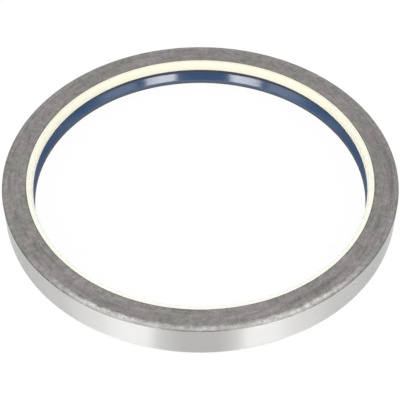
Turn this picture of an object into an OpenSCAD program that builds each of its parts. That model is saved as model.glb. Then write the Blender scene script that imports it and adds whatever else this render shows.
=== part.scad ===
// Crankshaft oil seal, lying on its open rim with the air side up.
// A drawn steel case carries a bonded rubber lip, a fleece dust ring and a garter spring.
// The origin is the centre of the rim's plane, +Z runs along the shaft axis, and sizes are in mm.
// Every outline below is a half section: its first coordinate is the radius and its second the height.

/* [Fit] */
// Diameter of the crankshaft journal that the lip runs on
shaft_d = 155; // [100:1:250]
// Space between the journal and the housing bore, on the radius
section_w = 12.5; // [10:0.5:20]
// Height of the case from its open rim to its flange face
case_h = 15; // [15:0.5:25]

/* [Steel case] */
// Thickness of the drawn sheet
sheet = 1.6; // [1.2:0.1:2]
// Width of the band over which the flange's outer edge rolls down
shoulder_w = 1; // [0.8:0.1:2]
// Drop of that band, down to where the ground wall starts
shoulder_drop = 0.7; // [0.4:0.1:0.8]
// Inside radius of the bend between flange and wall
bend_r = 1.5; // [0.8:0.1:2.2]
// Height of the lead-in taper at the open rim
lead_in_h = 1.2; // [0.6:0.1:2.4]
// Depth of the lead-in taper at the rim, on the radius
lead_in_depth = 0.15; // [0.1:0.05:0.5]
// Gap from the shaft to the flange's inner edge, on the radius
flange_gap = 1.5; // [1.2:0.1:3]
// Rounding of the flange's sheared inner edge
edge_r = 0.2; // [0.1:0.05:0.4]

/* [Dust ring] */
// How far the free ring is smaller than the shaft, on the radius
dust_squeeze = 1.25; // [0.4:0.05:1.3]
// Height of the ring, from the flange face down to its seat
dust_h = 3.9; // [3:0.1:5]
// Width of the flat land on top of the ring
dust_land = 1.2; // [0.6:0.1:1.8]

/* [Sealing lip] */
// How far the free lip is smaller than the shaft, on the radius
lip_squeeze = 1.3; // [1.3:0.05:2.2]
// Depth of the sealing edge below the flange face
lip_depth = 12.4; // [12:0.1:13.2]
// Height of the contact land above the sealing edge
contact_h = 0.8; // [0.4:0.1:1.2]
// Angle between the air-side face and the shaft axis
air_angle = 25; // [20:1:28]
// Angle between the oil-side face and the shaft axis
oil_angle = 45; // [40:1:55]
// Height of the toe below the sealing edge
toe_h = 1.6; // [1.2:0.1:1.8]
// Thickness of the flexing membrane
membrane_t = 1.5; // [1.1:0.1:1.9]
// Thickness of the nose that carries the dust ring
nose_t = 0.9; // [0.4:0.1:1.1]
// How far the nose stays behind the dust ring's inner edge
nose_setback = 0.1; // [0.1:0.1:1.2]
// Width of the heel bonded under the flange
heel_w = 5; // [4:0.1:6]
// Thickness of the heel at its outer edge
heel_t = 1.6; // [1.2:0.1:2]
// Depth of the membrane's root below the nose
root_drop = 0.2; // [0.1:0.1:0.7]
// Height of the slope from the head up to the membrane
neck_rise = 0.5; // [0.3:0.1:0.8]

/* [Lip roundings] */
// Nose, at both of its corners
nose_round = 0.15; // [0.05:0.05:0.2]
// Air-side face, where it turns in under the nose
face_round = 0.8; // [0.4:0.1:1]
// Toe, at the end of the oil-side face
toe_round = 0.3; // [0.1:0.05:0.5]
// Head, at its lower outer corner
head_round = 0.5; // [0.2:0.05:0.6]
// Head, at the corner above the groove
head_top_round = 0.35; // [0.2:0.05:0.4]
// Neck, between head and membrane
neck_round = 0.6; // [0.3:0.05:0.7]
// Root, between membrane and heel
root_round = 1.2; // [0.6:0.1:1.6]
// Heel, at its lower outer corner
heel_round = 0.6; // [0.3:0.1:0.9]

/* [Garter spring] */
// Outside diameter of the coil
coil_d = 2.3; // [1.8:0.1:2.6]
// Height of the spring above the sealing edge, towards the air side
spring_rise = 0.8; // [0.4:0.1:1.2]
// Rubber between the contact land and the spring groove
spring_wall = 1.65; // [1.4:0.05:2.2]
// Clearance between the coil and its groove
groove_gap = 0.05; // [0.02:0.01:0.1]
// How far the head reaches past the middle of the coil
head_overlap = 0.55; // [0.3:0.05:0.8]
// Thickness of the head above the groove
head_top_t = 0.9; // [0.7:0.1:1.3]

/* [Hidden] */
$fn = 180;

// Steps along each rounded corner of a section
corner_steps = 6;
// Steps along the dust ring's curved inner face
dust_steps = 12;

// Case
case_r = shaft_d / 2 + section_w;
wall_r = case_r - sheet;
flange_r = shaft_d / 2 + flange_gap;
flange_under = case_h - sheet;
shoulder_r = (pow(shoulder_w, 2) + pow(shoulder_drop, 2)) / (2 * shoulder_drop);
shoulder_end = acos(shoulder_w / shoulder_r);

// Dust ring
dust_r = shaft_d / 2 - dust_squeeze;
dust_seat = case_h - dust_h;

// Sealing lip
lip_r = shaft_d / 2 - lip_squeeze;
lip_z = case_h - lip_depth;
land_top = lip_z + contact_h;
nose_r = dust_r + nose_setback;
nose_under = dust_seat - nose_t;
toe_z = lip_z - toe_h;
toe_r = lip_r + toe_h * tan(oil_angle);
heel_r = flange_r + heel_w;
heel_z = flange_under - heel_t;
root_z = nose_under - root_drop;
membrane_w = membrane_t / cos(air_angle);

// Garter spring and its groove
groove_r = coil_d / 2 + groove_gap;
spring_r = lip_r + spring_wall + groove_r;
spring_z = lip_z + spring_rise;
head_r = spring_r + head_overlap;
head_top = spring_z + groove_r + head_top_t;
neck_z = head_top + neck_rise;

// Radius of the air-side face at height z
function air_face(z) = lip_r + (z - land_top) * tan(air_angle);

function unit(v) = v / norm(v);

// Points of an arc around centre c, from angle a to angle b
function arc(c, r, a, b, steps) =
    [for (i = [0:steps]) c + r * [cos(a + (b - a) * i / steps), sin(a + (b - a) * i / steps)]];

// Points of the rounded corner at c, between the corners before and after it
function fillet(before, c, after, r) =
    let (
        u = unit(before - c),
        v = unit(after - c),
        half = acos(u * v) / 2,
        centre = c + unit(u + v) * r / sin(half),
        start = c + u * r / tan(half) - centre,
        turn = (180 - 2 * half) * sign(cross(v, u)),
        from = atan2(start.y, start.x)
    )
    arc(centre, r, from, from + turn, corner_steps);

// Outline through corners given as [radius, height, rounding], where a rounding of 0 is a sharp corner
function outline(corners) =
    let (n = len(corners))
    [for (i = [0:n - 1])
        let (
            c = corners[i],
            p = corners[(i + n - 1) % n],
            q = corners[(i + 1) % n]
        )
        each c[2] == 0
            ? [[c.x, c.y]]
            : fillet([p.x, p.y], [c.x, c.y], [q.x, q.y], c[2])
    ];

// Case: deep-drawn from one sheet, with the flange inwards and the outside ground
module outer_case() {
    inside = outline([
        [wall_r, 0, 0],
        [wall_r, flange_under, bend_r],
        [flange_r, flange_under, 0],
        [flange_r, case_h, edge_r],
        [case_r - shoulder_w, case_h, 0]
    ]);
    shoulder = arc([case_r - shoulder_w, case_h - shoulder_r], shoulder_r, 90, shoulder_end, corner_steps);
    rim = [[case_r, lead_in_h], [case_r - lead_in_depth, 0]];
    color([0.62, 0.61, 0.6])
        rotate_extrude() polygon(concat(inside, shoulder, rim));
}

// Dust ring: moulded fleece, flush with the flange face and curved down to its inner edge
module dust_ring() {
    curve_w = flange_r - dust_land - dust_r;
    inner_face = [for (i = [0:dust_steps])
        let (a = 90 * i / dust_steps)
        [dust_r + curve_w * (1 - sin(a)), case_h - dust_h * (1 - cos(a))]];
    color([0.98, 0.97, 0.88])
        rotate_extrude() polygon(concat([[flange_r, dust_seat], [flange_r, case_h]], inner_face));
}

// Sealing lip: one rubber moulding from the heel under the flange to the toe
module sealing_lip() {
    section = outline([
        [flange_r, flange_under, 0],
        [flange_r, dust_seat, 0],
        [nose_r, dust_seat, nose_round],
        [nose_r, nose_under, nose_round],
        [air_face(nose_under), nose_under, face_round],
        [lip_r, land_top, 0],
        [lip_r, lip_z, 0],
        [toe_r, toe_z, toe_round],
        [head_r, toe_z, head_round],
        [head_r, head_top, head_top_round],
        [air_face(neck_z) + membrane_w, neck_z, neck_round],
        [air_face(root_z) + membrane_w, root_z, root_round],
        [heel_r, heel_z, heel_round],
        [heel_r, flange_under, 0]
    ]);
    color([0.2, 0.29, 0.45])
        rotate_extrude() difference() {
            polygon(section);
            translate([spring_r, spring_z]) circle(groove_r);
        }
}

// Garter spring: a coil joined end to end, shown by its outer form
module garter_spring() {
    color([0.75, 0.76, 0.78])
        rotate_extrude() translate([spring_r, spring_z]) circle(d = coil_d);
}

outer_case();
dust_ring();
sealing_lip();
garter_spring();
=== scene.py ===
import math

import bmesh
import bpy
from mathutils import Matrix, Vector


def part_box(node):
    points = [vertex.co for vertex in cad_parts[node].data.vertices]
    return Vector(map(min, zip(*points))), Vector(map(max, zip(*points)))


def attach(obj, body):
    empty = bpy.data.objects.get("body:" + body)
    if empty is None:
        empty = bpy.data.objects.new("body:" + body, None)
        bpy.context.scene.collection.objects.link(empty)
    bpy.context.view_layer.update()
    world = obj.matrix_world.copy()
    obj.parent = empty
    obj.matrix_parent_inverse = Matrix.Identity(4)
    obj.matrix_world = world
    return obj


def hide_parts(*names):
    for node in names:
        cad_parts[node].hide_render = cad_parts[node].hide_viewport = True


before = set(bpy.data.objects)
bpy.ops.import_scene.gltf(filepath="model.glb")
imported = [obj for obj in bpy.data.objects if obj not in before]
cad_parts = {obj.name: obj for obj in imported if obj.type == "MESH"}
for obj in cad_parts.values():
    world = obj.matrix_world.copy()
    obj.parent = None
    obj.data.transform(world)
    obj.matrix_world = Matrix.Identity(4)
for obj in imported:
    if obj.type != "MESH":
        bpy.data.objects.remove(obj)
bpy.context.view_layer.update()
scene = bpy.context.scene

# Camera: it looks down on the seal from the front at about 45 degrees, through a short telephoto lens,
# and aims at a point on the flange's plane that lies a little in front of the shaft axis.
mm = 0.001
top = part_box("outer_case")[1].z
lens_mm = 104.1
sensor_mm = 36
eye_elevation = math.radians(45.35)
eye_distance = 527.7 * mm
eye_side = 0.6 * mm
aim_side = -0.1 * mm
aim_front = 17.5 * mm
eye_front = eye_distance * math.cos(eye_elevation)
eye = Vector((eye_side, -eye_front, top + eye_distance * math.sin(eye_elevation)))
aim = Vector((aim_side, -aim_front, top))
camera = bpy.data.objects.new("camera", bpy.data.cameras.new("camera"))
camera.data.lens = lens_mm
camera.data.sensor_width = sensor_mm
camera.location = eye
camera.rotation_euler = (aim - eye).to_track_quat("-Z", "Y").to_euler()
scene.collection.objects.link(camera)
scene.camera = camera

# Outer case: one ring of sheet steel, deep drawn with its flange turned inwards. The outside wall is ground
# to size after drawing, up to the rolled shoulder, and the rest keeps the dull, marked skin of the sheet.
case_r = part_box("outer_case")[1].x
flange_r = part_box("dust_ring")[1].x
sheet = 1.6 * mm
shoulder_w = 1 * mm
shoulder_drop = 0.7 * mm
shoulder_steps = 10
lead_in_h = 1.2 * mm
lead_in_depth = 0.15 * mm
lead_in_round = 0.3 * mm
bend_r = 1.5 * mm
sheared_edge = 0.2 * mm
ground_edge = 0.1 * mm
spin_steps = 300
corner_steps = 6
weld = 0.001 * mm
sharp = math.radians(40)


def turned_ring(name, section, finishes):
    """A ring of the seal, from its half section of [radius, height, rounding] corners."""
    mesh = bmesh.new()
    corners = [Vector((radius, 0, height)) for radius, height, rounding in section]
    verts = [mesh.verts.new(corner) for corner in corners]
    for vert, following in zip(verts, verts[1:] + verts[:1]):
        mesh.edges.new((vert, following))
    for i, (radius, height, rounding) in enumerate(section):
        if rounding:
            back = corners[i - 1] - corners[i]
            ahead = corners[(i + 1) % len(corners)] - corners[i]
            reach = rounding / math.tan(back.angle(ahead) / 2)
            bmesh.ops.bevel(mesh, geom=[verts[i]], offset=reach, affect="VERTICES",
                            segments=corner_steps, profile=0.5, material=-1)
    bmesh.ops.spin(mesh, geom=mesh.verts[:] + mesh.edges[:], cent=(0, 0, 0), axis=(0, 0, 1),
                   angle=math.tau, steps=spin_steps, use_merge=True)
    bmesh.ops.remove_doubles(mesh, verts=mesh.verts, dist=weld)
    bmesh.ops.recalc_face_normals(mesh, faces=mesh.faces)
    for face in mesh.faces:
        face.smooth = True
    for line in mesh.edges:
        line.smooth = line.calc_face_angle(0) < sharp
    ring = bpy.data.objects.new(name, bpy.data.meshes.new(name))
    mesh.to_mesh(ring.data)
    scene.collection.objects.link(ring)
    ring.modifiers.new("weighted_normals", "WEIGHTED_NORMAL").keep_sharp = True
    for finish in finishes:
        ring.data.materials.append(finish)
    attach(ring, "root")
    return ring


class Value:
    """One output of a node, to be used in sums with numbers and with other outputs."""

    def __init__(self, finish, socket):
        self.finish = finish
        self.socket = socket

    def __add__(self, other):
        return self.finish.maths("ADD", self, other)

    def __sub__(self, other):
        return self.finish.maths("SUBTRACT", self, other)

    def __rsub__(self, other):
        return self.finish.maths("SUBTRACT", other, self)

    def __mul__(self, other):
        return self.finish.maths("MULTIPLY", self, other)

    def __truediv__(self, other):
        return self.finish.maths("DIVIDE", self, other)

    def __rtruediv__(self, other):
        return self.finish.maths("DIVIDE", other, self)

    __radd__ = __add__
    __rmul__ = __mul__


class Finish:
    """The nodes of one material or of the world."""

    def __init__(self, owner):
        self.owner = owner
        owner.use_nodes = True
        self.tree = owner.node_tree
        self.tree.nodes.clear()
        self.place = self.node("ShaderNodeTexCoord", {}, output="Object")
        axes = [self.node("ShaderNodeSeparateXYZ", {0: self.place}, output=i) for i in range(3)]
        self.x, self.y, self.z = axes
        self.radius = self.maths("SQRT", self.x * self.x + self.y * self.y)

    def node(self, kind, inputs, output=0, **settings):
        made = self.tree.nodes.new(kind)
        for name, value in settings.items():
            setattr(made, name, value)
        for name, value in inputs.items():
            if isinstance(value, Value):
                self.tree.links.new(value.socket, made.inputs[name])
            else:
                made.inputs[name].default_value = value
        return Value(self, made.outputs[output])

    def maths(self, operation, *values):
        return self.node("ShaderNodeMath", dict(enumerate(values)), operation=operation)

    def mix(self, share, first, second):
        """The first colour, with this share of the second in it."""
        return self.node("ShaderNodeMix", {0: share, 6: first, 7: second}, output=2, data_type="RGBA")

    def layered(self, share, first, second):
        """The first shader, with this share of the second in it."""
        return self.node("ShaderNodeMixShader", {0: share, 1: first, 2: second})

    def rise(self, value, low, high):
        """0 below low, 1 above high and smooth between them."""
        inputs = {"Value": value, "From Min": low, "From Max": high}
        return self.node("ShaderNodeMapRange", inputs, interpolation_type="SMOOTHSTEP")

    def bell(self, value, middle, width):
        """1 at the middle, falling away over the width on both sides."""
        away = (value - middle) / width
        return self.maths("EXPONENT", away * away * -1)

    def azimuth(self):
        """The angle round the ring, 0 in front and growing towards +X."""
        return self.maths("ARCTAN2", self.x, self.y * -1)

    def vector(self, x, y, z):
        return self.node("ShaderNodeCombineXYZ", {0: x, 1: y, 2: z})

    def noise(self, vector, size, detail=2, roughness=0.5):
        inputs = {"Vector": vector, "Scale": 1 / size, "Detail": detail, "Roughness": roughness}
        return self.node("ShaderNodeTexNoise", inputs)

    def drawn_out(self, stretch, degrees):
        """Coordinates for noise drawn out along X. Each angle reads another part of the noise."""
        turned = (0, 0, math.radians(degrees))
        inputs = {"Vector": self.place, "Rotation": turned, "Scale": (1 / stretch, 1, 1)}
        return self.node("ShaderNodeMapping", inputs, vector_type="POINT")

    def ray(self, kind):
        """1 for rays of this kind, such as Is Camera Ray, and 0 for the others."""
        return self.node("ShaderNodeLightPath", {}, output=kind)

    def diffuse(self, grey):
        return self.node("ShaderNodeBsdfDiffuse", {"Color": (grey, grey, grey, 1)})

    def glowing(self, strength):
        return self.node("ShaderNodeEmission", {"Strength": strength})

    def finished(self, shader, output="ShaderNodeOutputMaterial"):
        """The material or world, with this shader as its surface."""
        out = self.tree.nodes.new(output)
        self.tree.links.new(shader.socket, out.inputs["Surface"])
        return self.owner

    def shaded(self, inputs):
        return self.finished(self.node("ShaderNodeBsdfPrincipled", inputs))


# The sheet's skin is cloudy, mottled and grainy, with marks of drawing round the ring. These are noise read
# on a small circle, so that they run about nine times as long round the ring as they are wide.
marks_circle = 9 * mm
skin = Finish(bpy.data.materials.new("sheet_skin"))
angle = skin.azimuth()
cloud = skin.noise(skin.place, 14 * mm, detail=3, roughness=0.6)
mottle = skin.noise(skin.place, 2.4 * mm, detail=4, roughness=0.65)
grain = skin.noise(skin.place, 0.7 * mm, detail=3, roughness=0.6)
marks_x = skin.x / skin.radius * marks_circle
marks_y = skin.y / skin.radius * marks_circle
marks = skin.noise(skin.vector(marks_x, marks_y, skin.radius), 1.1 * mm, detail=3)
tone = 1 + 0.4 * (cloud - 0.5) + 1.0 * (mottle - 0.5) + 0.9 * (grain - 0.5) + 0.7 * (marks - 0.5)

# Smears on the flange: angle and length in degrees, distance from the axis and width in mm, and how much
# darker than the sheet.
smears = (
    (35, 11, 84.2, 1.1, 0.42), (66, 5, 83.6, 0.9, 0.35), (82, 5, 86.8, 1.0, 0.35),
    (-54, 5, 81.9, 0.7, 0.2), (-28, 13, 85.0, 1.8, 0.16), (-33, 12, 80.6, 1.4, -0.16),
    (104, 6, 84.0, 2.5, 0.2), (94, 8, 87.2, 1.4, 0.3))
for degrees, length, from_axis, width, darker in smears:
    smear = skin.bell(angle, math.radians(degrees), math.radians(length))
    smear = smear * skin.bell(skin.radius, from_axis * mm, width * mm)
    tone = tone - smear * skin.rise(mottle, 0.36, 0.56) * darker

# Scratches: three sets of hair lines that run across, in loose patches and at two places in front.
scratch_stretch = 22
scratch_light = 0.4
patches = skin.rise(skin.noise(skin.place, 11 * mm), 0.52, 0.66)
for degrees, length in ((-44, 4), (17, 8)):
    patches = patches + skin.bell(angle, math.radians(degrees), math.radians(length))
for degrees, size in ((28, 0.20), (-62, 0.24), (80, 0.16)):
    hair = skin.noise(skin.drawn_out(scratch_stretch, degrees), size * mm, detail=1)
    tone = tone + skin.rise(hair, 0.66, 0.8) * patches * scratch_light

# The rolled shoulder is painted bright in specks, partly as rubbed steel and partly as painted highlight,
# mostly in front and most of all at two places there. A dark line lies where the grinding stops.
edge = top - shoulder_drop
stop_line_dark = 0.4
rolled = skin.rise(skin.radius + (mottle - 0.5) * 1.4 * mm, case_r - 3.2 * mm, case_r - 1.2 * mm)
specks = skin.noise(skin.place, 1.1 * mm, detail=3, roughness=0.65)
# Painted highlight: the shoulder is painted brighter in front and at two places there.
highlight_place = 0.04 + 0.56 * skin.rise(skin.y * -1, 46 * mm, 78 * mm)
for degrees in (-24, 28):
    highlight_place = highlight_place + 0.5 * skin.bell(angle, math.radians(degrees), math.radians(13))
dimmer_at_rim = 1 - 0.65 * skin.rise(skin.radius, case_r - 1.2 * mm, case_r - 0.6 * mm)
rubbed_and_highlight = rolled * highlight_place * dimmer_at_rim * (0.45 + 0.55 * skin.rise(specks, 0.3, 0.7))
stop_line = skin.bell(skin.z, edge + 0.15 * mm, 0.25 * mm)
stop_line = stop_line * skin.rise(skin.radius, case_r - 0.9 * mm, case_r - 0.4 * mm)
tone = tone * (1 - stop_line * stop_line_dark)

# Faint lines follow the flange's outer edge at both sides: distance from the axis and width in mm, and how
# much darker than the sheet.
at_sides = skin.bell(skin.maths("ABSOLUTE", angle), math.radians(97), math.radians(22))
for from_axis, width, darker in ((87.1, 0.4, 0.1), (88.35, 0.22, -0.08), (88.9, 0.25, 0.08)):
    tone = tone - darker * skin.bell(skin.radius, from_axis * mm, width * mm) * at_sides

# A thin line of painted shade lies on the sheet next to the dust ring, where the two parts meet.
mill_grey = (0.243, 0.235, 0.219, 1)
warm_grey = (0.248, 0.231, 0.231, 1)
bare_steel_highlight = (0.66, 0.65, 0.63, 1)
gap_shade_olive = (0.13, 0.12, 0.075, 1)
# Painted shade in the gap next to the dust ring.
gap_shade = 1 - skin.rise(skin.radius, flange_r + 0.15 * mm, flange_r + 0.6 * mm)
colour = skin.mix(skin.rise(cloud, 0.4, 0.6), mill_grey, warm_grey)
# Bare steel on the shoulder, partly rubbing and partly painted highlight.
colour = skin.mix(rubbed_and_highlight, colour, bare_steel_highlight)
colour = skin.mix(gap_shade * 0.6, colour, gap_shade_olive)
tones = skin.vector(tone, tone, tone)
sheet_skin = skin.shaded({
    "Base Color": skin.node("ShaderNodeVectorMath", {0: colour, 1: tones}, operation="MULTIPLY"),
    "Metallic": 1.0,
    "Roughness": 0.5 + (mottle - 0.5) * 0.3 - rolled * 0.12,
    "Normal": skin.node("ShaderNodeBump", {"Height": mottle * 0.5 + grain * 0.3, "Distance": 0.03 * mm}),
})

# The ground wall's lines run round the ring, so their noise changes with the height and hardly with X and Y.
line_squeeze = 0.01
ground_steel = (0.57, 0.566, 0.556, 1)
wall = Finish(bpy.data.materials.new("ground_wall"))
lines = wall.vector(wall.x * line_squeeze, wall.y * line_squeeze, wall.z)
grinding = wall.noise(lines, 0.12 * mm, detail=3, roughness=0.7)
passes = wall.noise(lines, 0.9 * mm, detail=2)
fade = wall.noise(wall.place, 20 * mm)
shine = 0.94 + 0.08 * (grinding - 0.5) + 0.06 * (passes - 0.5) + 0.06 * (fade - 0.5)
ground_wall = wall.shaded({
    "Base Color": wall.mix(shine, (0, 0, 0, 1), ground_steel),
    "Metallic": 1.0,
    "Roughness": 0.24,
    "Anisotropic": 0.86,
    "Anisotropic Rotation": 0.25,
})

arc_r = (shoulder_w ** 2 + shoulder_drop ** 2) / (2 * shoulder_drop)
arc_end = math.acos(shoulder_w / arc_r)
shoulder = []
for i in range(shoulder_steps + 1):
    turn = math.pi / 2 + (arc_end - math.pi / 2) * i / shoulder_steps
    shoulder.append([case_r - shoulder_w + arc_r * math.cos(turn), top - arc_r + arc_r * math.sin(turn), 0])
shoulder[-1][2] = ground_edge
case = turned_ring("case_shell", [
    [case_r - sheet, 0, ground_edge],
    [case_r - sheet, top - sheet, bend_r],
    [flange_r, top - sheet, 0],
    [flange_r, top, sheared_edge],
    *shoulder,
    [case_r, lead_in_h, lead_in_round],
    [case_r - lead_in_depth, 0, ground_edge],
], [sheet_skin, ground_wall])
for face in case.data.polygons:
    if face.center.xy.length > case_r - lead_in_depth - ground_edge and face.center.z < edge:
        face.material_index = 1
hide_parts("outer_case")

# Dust ring: pressed fleece, glued inside the flange's edge and flush with its face.
# Its inner side curves down to the seat on the lip's nose.
dust_r = 76.25 * mm
dust_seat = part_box("dust_ring")[0].z
dust_land = 1.2 * mm
land_r = flange_r - dust_land
curve_steps = 16
curve = []
for i in range(curve_steps + 1):
    turn = math.pi / 2 * i / curve_steps
    curve_r = dust_r + (land_r - dust_r) * (1 - math.sin(turn))
    curve.append([curve_r, top - (top - dust_seat) * (1 - math.cos(turn)), 0])

# Painted light makes the fleece paler in front, and painted shade its flat land darker at the back.
deep_cream = (0.93, 0.9, 0.7, 1)
cream = (0.97, 0.955, 0.8, 1)
lit_front_cream = (0.975, 0.97, 0.9, 1)
shaded_back_cream = (0.6, 0.57, 0.45, 1)
felt = Finish(bpy.data.materials.new("fleece"))
fibre = felt.noise(felt.place, 0.45 * mm, detail=4, roughness=0.7)
lumps = felt.noise(felt.place, 2.5 * mm, detail=2)
land = felt.rise(felt.radius, land_r - 0.1 * mm, land_r + 0.1 * mm)
colour = felt.mix(0.3 + 0.5 * fibre + 0.3 * (lumps - 0.5), deep_cream, cream)
colour = felt.mix(0.95 * felt.rise(felt.y * -1, -76 * mm, 76 * mm), colour, lit_front_cream)
colour = felt.mix(0.15 * land * felt.rise(felt.y, 0, 60 * mm), colour, shaded_back_cream)
dust = turned_ring("dust_fleece", [[flange_r, dust_seat, 0], [flange_r, top, 0], *curve], [felt.shaded({
    "Base Color": colour,
    "Roughness": 0.95,
    "Normal": felt.node("ShaderNodeBump", {"Height": fibre, "Distance": 0.06 * mm, "Strength": 0.6}),
})])
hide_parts("dust_ring")

# Sealing lip: one moulding of blue rubber, vulcanised to the underside of the flange. The smooth air-side
# face runs down to the sealing edge, and the head behind it holds the garter spring in a groove.
lip_r = 76.2 * mm
lip_z = 2.6 * mm
land_top = 3.4 * mm
air_angle = math.radians(25)
membrane_w = 1.5 * mm / math.cos(air_angle)
nose_r = dust_r + 0.1 * mm
nose_under = dust_seat - 0.9 * mm
toe_h = 1.6 * mm
toe_r = lip_r + toe_h
toe_z = lip_z - toe_h
head_r = 79.6 * mm
head_top = 5.5 * mm
neck_z = 6 * mm
root_z = 10 * mm
heel_r = flange_r + 5 * mm
heel_z = 11.8 * mm
nose_round = 0.15 * mm
face_round = 0.8 * mm
lip_round = 0.05 * mm
toe_round = 0.3 * mm
head_round = 0.5 * mm
head_top_round = 0.35 * mm
neck_round = 0.6 * mm
root_round = 1.2 * mm
heel_round = 0.6 * mm
coil_d = 2.3 * mm
spring_r = 79.05 * mm
spring_z = 3.4 * mm
groove_gap = 0.05 * mm
groove_r = coil_d / 2 + groove_gap
groove_steps = 16


def air_face(height):
    """Radius of the air-side face at this height."""
    return lip_r + (height - land_top) * math.tan(air_angle)


groove_turn = math.acos((head_r - spring_r) / groove_r)
groove = []
for i in range(groove_steps + 1):
    turn = -groove_turn - (math.tau - 2 * groove_turn) * i / groove_steps
    groove.append([spring_r + groove_r * math.cos(turn), spring_z + groove_r * math.sin(turn), 0])

# The rubber is glossy. It is greyer and matt where its edge was trimmed. Its upper part is painted dark
# grey and matt as painted shade under the dust ring, and a painted reflection lies on it towards the back,
# on both sides.
dark_blue = (0.008, 0.04, 0.12, 1)
clear_blue = (0.018, 0.075, 0.195, 1)
reflection_blue = (0.085, 0.14, 0.26, 1)
deep_blue = (0.008, 0.03, 0.09, 1)
shade_grey = (0.035, 0.044, 0.066, 1)
trimmed_grey = (0.085, 0.1, 0.13, 1)
rubber = Finish(bpy.data.materials.new("lip_rubber"))
bloom = rubber.noise(rubber.place, 6 * mm, detail=3)
fine = rubber.noise(rubber.place, 0.4 * mm, detail=2)
trimmed = 1 - rubber.rise(rubber.z, land_top + 0.3 * mm, land_top + 1.1 * mm)
# Painted shade under the dust ring.
shade_under_ring = rubber.rise(rubber.z, 7.45 * mm, 7.95 * mm)
from_front = rubber.maths("ABSOLUTE", rubber.azimuth())
# Painted reflection towards the back, on both sides.
painted_reflection = rubber.rise(from_front, math.radians(115), math.radians(127))
painted_reflection = painted_reflection * (1 - rubber.rise(from_front, math.radians(140), math.radians(152)))
colour = rubber.mix(bloom * 0.7 + fine * 0.3, dark_blue, clear_blue)
colour = rubber.mix(painted_reflection * 0.6, colour, reflection_blue)
colour = rubber.mix(rubber.rise(rubber.z, 3 * mm, 9 * mm) * 0.3, colour, deep_blue)
colour = rubber.mix(shade_under_ring * 0.85, colour, shade_grey)
colour = rubber.mix(trimmed * 0.85, colour, trimmed_grey)
lip = turned_ring("lip_moulding", [
    [flange_r, top - sheet, 0],
    [flange_r, dust_seat, 0],
    [nose_r, dust_seat, nose_round],
    [nose_r, nose_under, nose_round],
    [air_face(nose_under), nose_under, face_round],
    [lip_r, land_top, lip_round],
    [lip_r, lip_z, lip_round],
    [toe_r, toe_z, toe_round],
    [head_r, toe_z, head_round],
    *groove,
    [head_r, head_top, head_top_round],
    [air_face(neck_z) + membrane_w, neck_z, neck_round],
    [air_face(root_z) + membrane_w, root_z, root_round],
    [heel_r, heel_z, heel_round],
    [heel_r, top - sheet, 0],
], [rubber.shaded({
    "Base Color": colour,
    "Roughness": 0.13 + (bloom - 0.5) * 0.08 + (shade_under_ring + trimmed) * 0.5,
    "IOR": 1.5,
})])
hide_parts("sealing_lip")

# Garter spring: close-wound steel wire, its coil bent round and joined end to end in the groove behind the
# lip. One turn of the wire is wound and then repeated round the ring, with a hair's breadth between turns.
wire_d = 0.5 * mm
wire_gap = 0.02 * mm
wire_weld = 0.005 * mm
wire_sides = 6
turn_steps = 12
coil_turns = round(math.tau * spring_r / (wire_d + wire_gap))
step_round = math.tau / coil_turns
upright = Matrix.Rotation(math.pi / 2, 4, "Y")
start = Matrix.Translation((spring_r, 0, spring_z + (coil_d - wire_d) / 2)) @ upright
mesh = bmesh.new()
bmesh.ops.create_circle(mesh, segments=wire_sides, radius=wire_d / 2, matrix=start)
bmesh.ops.spin(mesh, geom=mesh.verts[:] + mesh.edges[:], cent=(spring_r, 0, spring_z), axis=(0, 1, 0),
               dvec=(0, spring_r * step_round / turn_steps, 0), angle=math.tau, steps=turn_steps)
bmesh.ops.spin(mesh, geom=mesh.verts[:] + mesh.edges[:] + mesh.faces[:], cent=(0, 0, 0), axis=(0, 0, 1),
               angle=math.tau - step_round, steps=coil_turns - 1, use_duplicate=True)
bmesh.ops.remove_doubles(mesh, verts=mesh.verts, dist=wire_weld)
bmesh.ops.recalc_face_normals(mesh, faces=mesh.faces)
for face in mesh.faces:
    face.smooth = True
spring = bpy.data.objects.new("spring_coil", bpy.data.meshes.new("spring_coil"))
mesh.to_mesh(spring.data)
scene.collection.objects.link(spring)
wire_grey = (0.5, 0.5, 0.52, 1)
wire_bright = (0.68, 0.68, 0.7, 1)
wire = Finish(bpy.data.materials.new("spring_wire"))
tarnish = wire.noise(wire.place, 3 * mm)
spring.data.materials.append(wire.shaded({
    "Base Color": wire.mix(tarnish, wire_grey, wire_bright),
    "Metallic": 1.0,
    "Roughness": 0.22 + 0.15 * tarnish,
}))
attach(spring, "root")
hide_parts("garter_spring")

# Table: to the camera it is white, with a tenth of grey paint in it that shows the shadow. Polished surfaces
# see a white sheet under the shaft passage and a dark, glossy top round it. The inside of the case is lit
# from the table, so that the underside can be seen, and from below the table is clear.
table_half = 4
table_gap = 0.05 * mm
mesh = bmesh.new()
bmesh.ops.create_grid(mesh, x_segments=1, y_segments=1, size=table_half,
                      matrix=Matrix.Translation((0, 0, -table_gap)))
floor = bpy.data.objects.new("floor", bpy.data.meshes.new("floor"))
mesh.to_mesh(floor.data)
scene.collection.objects.link(floor)
table = Finish(bpy.data.materials.new("table"))
camera_ray = table.ray("Is Camera Ray")
seen = table.layered(camera_ray * 0.9, table.diffuse(0.55), table.glowing(1.06))
aside = table.rise(table.maths("ABSOLUTE", table.x), 22 * mm, 44 * mm)
white_sheet = table.layered(aside, table.glowing(1.1), table.glowing(0.7))
sheen = table.node("ShaderNodeBsdfGlossy", {"Color": (0.7, 0.7, 0.7, 1), "Roughness": 0.05})
glossy_top = table.node("ShaderNodeAddShader", {0: table.diffuse(0.17), 1: sheen})
reflected = table.layered(table.rise(table.radius, 72 * mm, 76 * mm), white_sheet, glossy_top)
lit = table.layered(table.ray("Is Glossy Ray"), seen, reflected)
under_case = table.rise(table.radius, toe_r, toe_r + 1 * mm)
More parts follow.
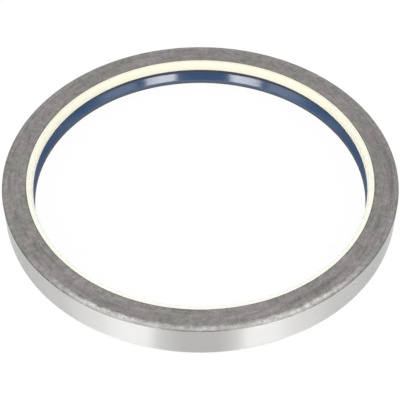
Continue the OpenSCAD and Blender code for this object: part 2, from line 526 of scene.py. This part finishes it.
under_case = under_case * (1 - table.rise(table.radius, case_r - 1 * mm, case_r - 0.5 * mm))
lit = table.layered(under_case * (1 - camera_ray), lit, table.glowing(1.8))
below = table.node("ShaderNodeNewGeometry", {}, output="Backfacing")
clear = table.node("ShaderNodeBsdfTransparent", {})
floor.data.materials.append(table.finished(table.layered(below, lit, clear)))

# Light: upright softboxes stand round the seal. The low pair makes the two highlights on the lip, and those
# beside and above it the bright bands of the ground wall. Three fills reach matt surfaces only, one softbox
# hangs overhead, and the world is white to the camera and to polished surfaces.
lamp_reach = 1.5


def softbox(name, azimuth, wide, low, high, brightness):
    """An upright panel that faces the seal. Its azimuth, width and edges are in degrees from the seal."""
    lamp = bpy.data.objects.new(name, bpy.data.lights.new(name, "AREA"))
    across = math.radians(azimuth)
    foot = lamp_reach * math.tan(math.radians(low))
    head = lamp_reach * math.tan(math.radians(high))
    lamp.location = (lamp_reach * math.sin(across), -lamp_reach * math.cos(across), (foot + head) / 2)
    lamp.rotation_euler = (math.pi / 2, 0, across)
    lamp.data.shape = "RECTANGLE"
    lamp.data.size = 2 * lamp_reach * math.tan(math.radians(wide) / 2)
    lamp.data.size_y = head - foot
    lamp.data.energy = brightness * math.pi * lamp.data.size * lamp.data.size_y
    lamp.visible_camera = False
    scene.collection.objects.link(lamp)
    return lamp


# Each softbox has an azimuth, a width, a lower and an upper edge, and a brightness.
for name, azimuth, wide, low, high, brightness in (
        ("low_left", -28.5, 19, 7.5, 12.5, 18), ("low_right", 25, 19, 7.5, 12.5, 18),
        ("flank_left", -56, 26, 4, 15, 2.7), ("flank_right", 54, 26, 4, 15, 2.3),
        ("inner_left", -21, 12, 35, 68, 0.25), ("inner_right", 19.5, 9, 35, 68, 0.25),
        ("high_left", -40, 26, 35, 68, 1.3), ("high_right", 37, 26, 35, 68, 1.3),
        ("side_left", -65, 24, 35, 68, 0.75), ("side_right", 62, 24, 35, 68, 0.65),
        ("rear_left", -92, 30, 35, 68, 0.25), ("rear_right", 89, 30, 35, 68, 0.25)):
    softbox(name, azimuth, wide, low, high, brightness)
for name, azimuth in (("fill_left", -90), ("fill_right", 90), ("fill_back", 180)):
    softbox(name, azimuth, 60, 0, 30, 1.3).visible_glossy = False
overhead = softbox("overhead", 0, 56, -14, 14, 1.1)
overhead.location = (0, 0, lamp_reach)
overhead.rotation_euler = (0, 0, 0)

sky_light = 0.45
scene.world = bpy.data.worlds.new("studio")
studio = Finish(scene.world)
shown = studio.maths("MAXIMUM", studio.ray("Is Camera Ray"), studio.ray("Is Glossy Ray"))
sky = {"Color": (1, 1, 1, 1), "Strength": sky_light + (1 - sky_light) * shown}
studio.finished(studio.node("ShaderNodeBackground", sky), output="ShaderNodeOutputWorld")
scene.view_settings.view_transform = "Standard"
